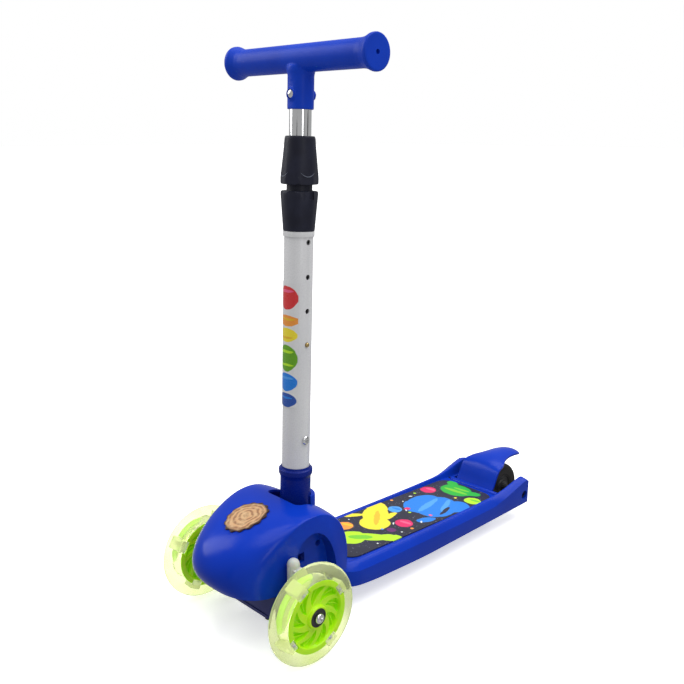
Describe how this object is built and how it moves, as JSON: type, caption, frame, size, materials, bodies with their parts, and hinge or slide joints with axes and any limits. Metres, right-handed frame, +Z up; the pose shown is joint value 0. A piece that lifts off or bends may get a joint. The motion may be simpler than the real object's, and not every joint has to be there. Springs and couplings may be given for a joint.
{
  "type": "kick scooter",
  "caption": "Child's three-wheeled kick scooter: lean-to-steer column, telescopic T-bar, moulded deck and rear fender brake.",
  "frame": {"origin": "middle of the scooter's footprint, on the ground under the deck", "axes": "+Z up, -Y forwards (the way it rides), +X to the rider's left"},
  "size_m": [0.236, 0.6256, 0.684],
  "materials": {
    "gloss_blue": "gloss moulded polypropylene",
    "satin_blue": "satin moulded polypropylene",
    "navy_plastic": "semi-gloss moulded plastic",
    "clamp_navy": "matte moulded nylon",
    "white_paint": "white powder coat",
    "tube_print": "printed film",
    "mat_print": "printed grip film",
    "wood_print": "printed domed badge",
    "lime_plastic": "moulded polypropylene",
    "clear_tyre": "translucent polyurethane",
    "clear_plastic": "clear plastic",
    "nylon": "natural nylon",
    "chrome": "polished chrome plate",
    "steel": "zinc plated steel",
    "brass": "nickel plated brass",
    "black_tyre": "solid polyurethane",
    "black_plastic": "moulded nylon",
    "bearing_seal": "steel rings with rubber seals"
  },
  "bodies": {
    "deck": {"deck_shell": "gloss_blue", "deck_mat": "mat_print", "front_cowl": "gloss_blue", "cowl_badge": "wood_print", "front_crossmember": "navy_plastic", "pivot_bracket": "steel", "chassis_screw_1": "steel", "chassis_screw_2": "steel", "chassis_screw_3": "steel", "chassis_screw_4": "steel", "lean_pivot_bolt": "steel", "lean_pivot_nut": "steel", "centring_spring_left": "steel", "centring_spring_right": "steel", "kingpin_left": "steel", "kingpin_right": "steel", "rear_axle_bolt": "steel", "rear_axle_nut": "steel", "rear_spacer_left": "black_plastic", "rear_spacer_right": "black_plastic", "fender_hinge_pin": "steel", "fender_spring": "steel"},
    "tie_rod": {"tie_rod": "steel"},
    "knuckle_left": {"knuckle_left": "nylon", "wheel_axle_left": "chrome", "magnet_sleeve_left": "black_plastic"},
    "wheel_left": {"wheel_tyre_left": "clear_tyre", "wheel_core_left": "lime_plastic", "led_ring_left": "clear_plastic", "wheel_bearing_left_1": "bearing_seal", "wheel_bearing_left_2": "bearing_seal"},
    "knuckle_right": {"knuckle_right": "nylon", "wheel_axle_right": "chrome", "magnet_sleeve_right": "black_plastic"},
    "wheel_right": {"wheel_tyre_right": "clear_tyre", "wheel_core_right": "lime_plastic", "led_ring_right": "clear_plastic", "wheel_bearing_right_1": "bearing_seal", "wheel_bearing_right_2": "bearing_seal"},
    "rear_wheel": {"rear_tyre": "black_tyre", "rear_hub": "black_plastic", "rear_bearing_left": "bearing_seal", "rear_bearing_right": "bearing_seal"},
    "brake_fender": {"brake_fender": "gloss_blue"},
    "column": {"column_socket": "gloss_blue", "outer_tube": "white_paint", "tube_ring": "white_paint", "column_collar": "navy_plastic", "tube_decal": "tube_print", "socket_screw": "chrome", "clamp_base": "clamp_navy"},
    "clamp_nut": {"clamp_nut": "clamp_navy"},
    "inner_column": {"inner_tube": "chrome", "guide_bush": "nylon", "handlebar": "satin_blue", "handle_bolt": "chrome", "handle_nut": "steel", "button_spring": "steel"},
    "snap_button": {"snap_button": "brass"}
  },
  "joints": [
    {"name": "column_lean", "type": "hinge", "parent": "deck", "child": "column", "pos_m": [0, -0.17415, 0.085], "axis": [0, 1, 0], "range_deg": [-8, 8], "stiffness_Nm_per_rad": 36, "deforming": ["centring_spring_left", "centring_spring_right"]},
    {"name": "tie_rod_slide", "type": "slide", "parent": "deck", "child": "tie_rod", "axis": [1, 0, 0], "range_m": [-0.0052, 0.0052]},
    {"name": "steer_left", "type": "hinge", "parent": "deck", "child": "knuckle_left", "pos_m": [0.072, -0.23915, 0.06], "axis": [0, 0, 1], "range_deg": [-8, 8]},
    {"name": "steer_right", "type": "hinge", "parent": "deck", "child": "knuckle_right", "pos_m": [-0.072, -0.23915, 0.06], "axis": [0, 0, 1], "range_deg": [-8, 8]},
    {"name": "wheel_left_spin", "type": "hinge", "parent": "knuckle_left", "child": "wheel_left", "pos_m": [0.1025, -0.23915, 0.06], "axis": [1, 0, 0], "continuous": true},
    {"name": "wheel_right_spin", "type": "hinge", "parent": "knuckle_right", "child": "wheel_right", "pos_m": [-0.1025, -0.23915, 0.06], "axis": [1, 0, 0], "continuous": true},
    {"name": "rear_wheel_spin", "type": "hinge", "parent": "deck", "child": "rear_wheel", "pos_m": [0, 0.24585, 0.0375], "axis": [1, 0, 0], "continuous": true},
    {"name": "brake_press", "type": "hinge", "parent": "deck", "child": "brake_fender", "pos_m": [0, 0.20135, 0.043], "axis": [-1, 0, 0], "range_deg": [0, 2.8], "stiffness_Nm_per_rad": 1.5, "springref_deg": -5.73},
    {"name": "clamp_twist", "type": "hinge", "parent": "column", "child": "clamp_nut", "pos_m": [0, -0.15963, 0.55478], "axis": [0, 0.0309, 0.9995], "range_deg": [0, 90]},
    {"name": "height_slide", "type": "slide", "parent": "column", "child": "inner_column", "axis": [0, 0.0309, 0.9995], "range_m": [0, 0.12], "deforming": ["snap_button"]},
    {"name": "snap_button_press", "type": "slide", "parent": "inner_column", "child": "snap_button", "axis": [-1, 0, 0], "range_m": [0, 0.004], "stiffness_N_per_m": 400, "springref_m": -0.002, "deforming": ["button_spring"]}
  ],
  "couplings": [
    {"joint": "tie_rod_slide", "follows": "column_lean", "m_per_rad": -0.0365},
    {"joint": "steer_left", "follows": "column_lean", "ratio": 1},
    {"joint": "steer_right", "follows": "column_lean", "ratio": 1}
  ]
}
